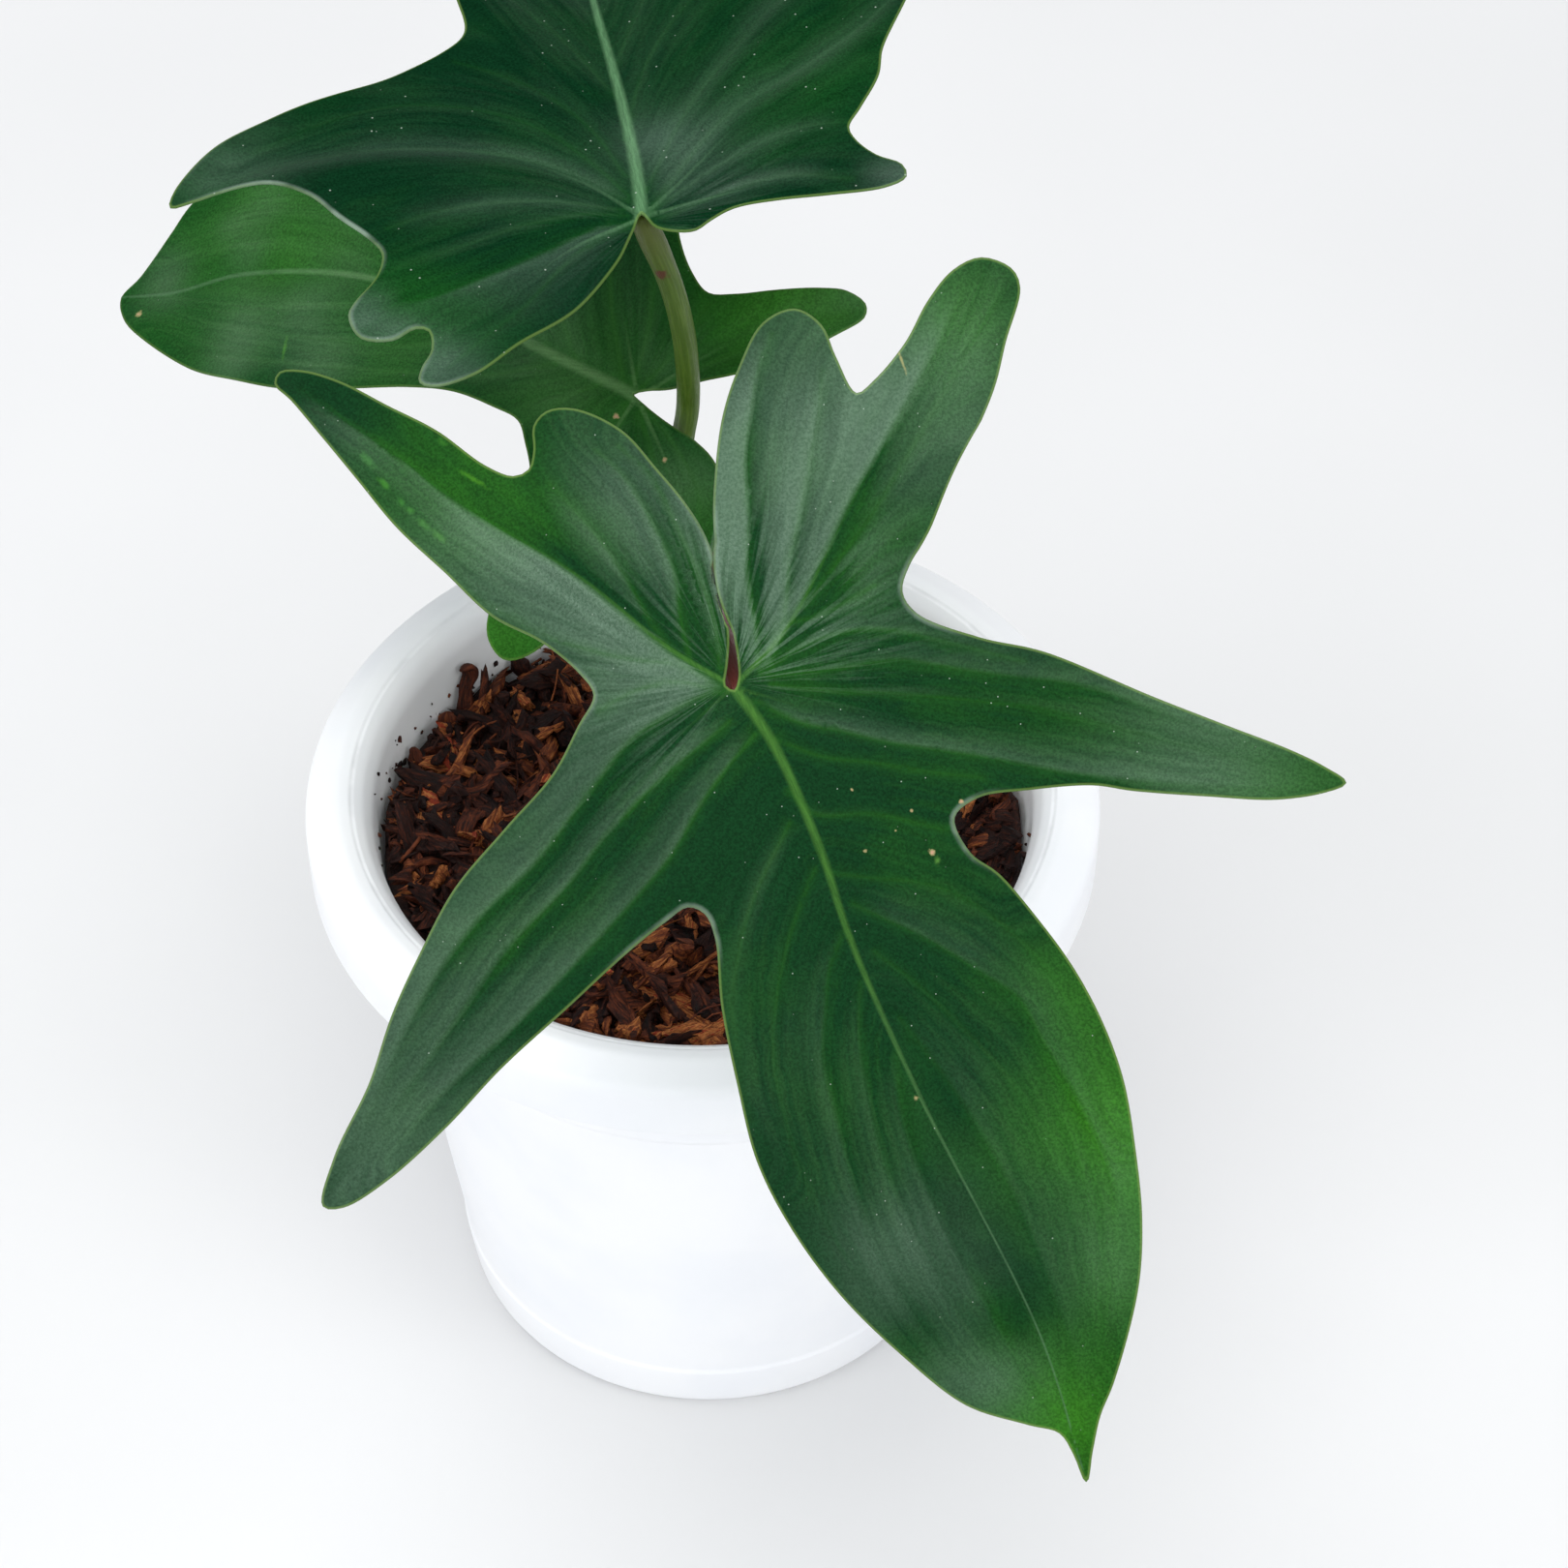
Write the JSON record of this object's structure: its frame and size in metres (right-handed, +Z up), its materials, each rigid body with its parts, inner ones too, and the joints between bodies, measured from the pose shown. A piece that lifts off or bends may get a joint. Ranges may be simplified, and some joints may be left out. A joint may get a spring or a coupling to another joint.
{
  "type": "potted oakleaf philodendron",
  "caption": "Young aroid house plant with deeply lobed dark green blades on slim stalks, in bark mix in a white round nursery pot with a wide rim.",
  "frame": {"origin": "centre of the pot's underside, where the pot rests", "axes": "+Z up, -Y the way the front blade hangs, +X to the right of someone who faces that blade"},
  "size_m": [0.1554, 0.2187, 0.2012],
  "materials": {
    "pot_plastic": "smooth white plastic with a soft gloss and traces of bark dust",
    "bark": "rough damp bark chips and fibres, dark brown to rust",
    "stem_skin": "smooth green stem with brown node rings",
    "petiole_skin": "smooth olive stalk, reddish where it meets the blade",
    "leaf": "deep green satin leaf with a pale midrib"
  },
  "bodies": {
    "root": {"pot": "pot_plastic", "substrate": "bark", "stem": "stem_skin", "petiole_front": "petiole_skin", "petiole_top": "petiole_skin", "petiole_back": "petiole_skin", "blade_front": "leaf", "blade_top": "leaf", "blade_back": "leaf"}
  },
  "joints": []
}
